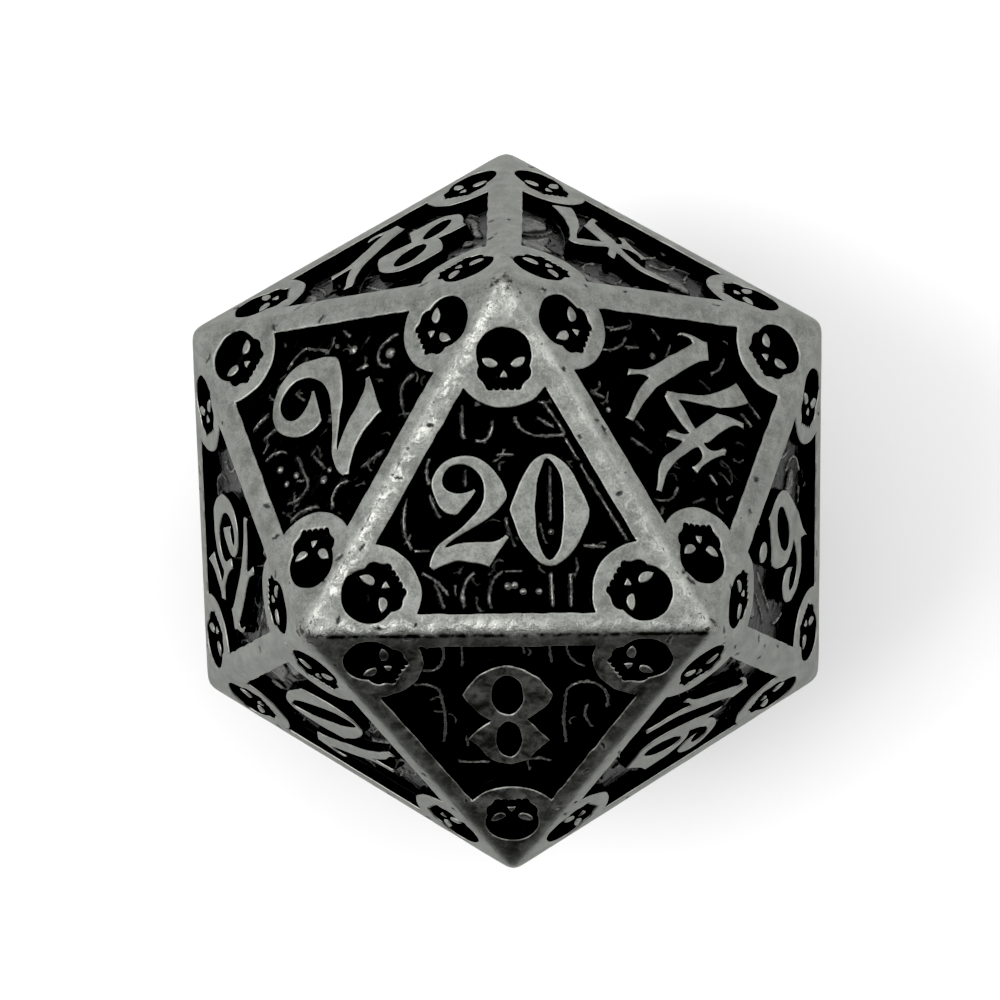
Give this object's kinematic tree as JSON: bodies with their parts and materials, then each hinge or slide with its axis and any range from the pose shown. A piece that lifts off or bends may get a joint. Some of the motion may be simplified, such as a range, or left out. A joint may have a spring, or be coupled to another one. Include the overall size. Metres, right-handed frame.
{
  "type": "polyhedral die",
  "caption": "Twenty-sided gaming die in cast metal, with raised numerals and skull medallions standing in black enamel fields.",
  "frame": {"origin": "middle of the face numbered 1, on the surface the die rests on", "axes": "+Z from the face numbered 1 to the face numbered 20, +Y towards the corner above the numeral of the top face, +X to the right of that numeral"},
  "size_m": [0.0214, 0.0244, 0.02],
  "materials": {
    "cast_metal": "tumbled zinc alloy with an antique silver finish, satin",
    "black_enamel": "glossy black enamel"
  },
  "bodies": {
    "root": {"cast_body": "cast_metal", "enamel_field_01": "black_enamel", "enamel_field_02": "black_enamel", "enamel_field_03": "black_enamel", "enamel_field_04": "black_enamel", "enamel_field_05": "black_enamel", "enamel_field_06": "black_enamel", "enamel_field_07": "black_enamel", "enamel_field_08": "black_enamel", "enamel_field_09": "black_enamel", "enamel_field_10": "black_enamel", "enamel_field_11": "black_enamel", "enamel_field_12": "black_enamel", "enamel_field_13": "black_enamel", "enamel_field_14": "black_enamel", "enamel_field_15": "black_enamel", "enamel_field_16": "black_enamel", "enamel_field_17": "black_enamel", "enamel_field_18": "black_enamel", "enamel_field_19": "black_enamel", "enamel_field_20": "black_enamel", "skull_enamel_01": "black_enamel", "skull_enamel_02": "black_enamel", "skull_enamel_03": "black_enamel", "skull_enamel_04": "black_enamel", "skull_enamel_05": "black_enamel", "skull_enamel_06": "black_enamel", "skull_enamel_07": "black_enamel", "skull_enamel_08": "black_enamel", "skull_enamel_09": "black_enamel", "skull_enamel_10": "black_enamel", "skull_enamel_11": "black_enamel", "skull_enamel_12": "black_enamel", "skull_enamel_13": "black_enamel", "skull_enamel_14": "black_enamel", "skull_enamel_15": "black_enamel", "skull_enamel_16": "black_enamel", "skull_enamel_17": "black_enamel", "skull_enamel_18": "black_enamel", "skull_enamel_19": "black_enamel", "skull_enamel_20": "black_enamel"}
  },
  "joints": []
}
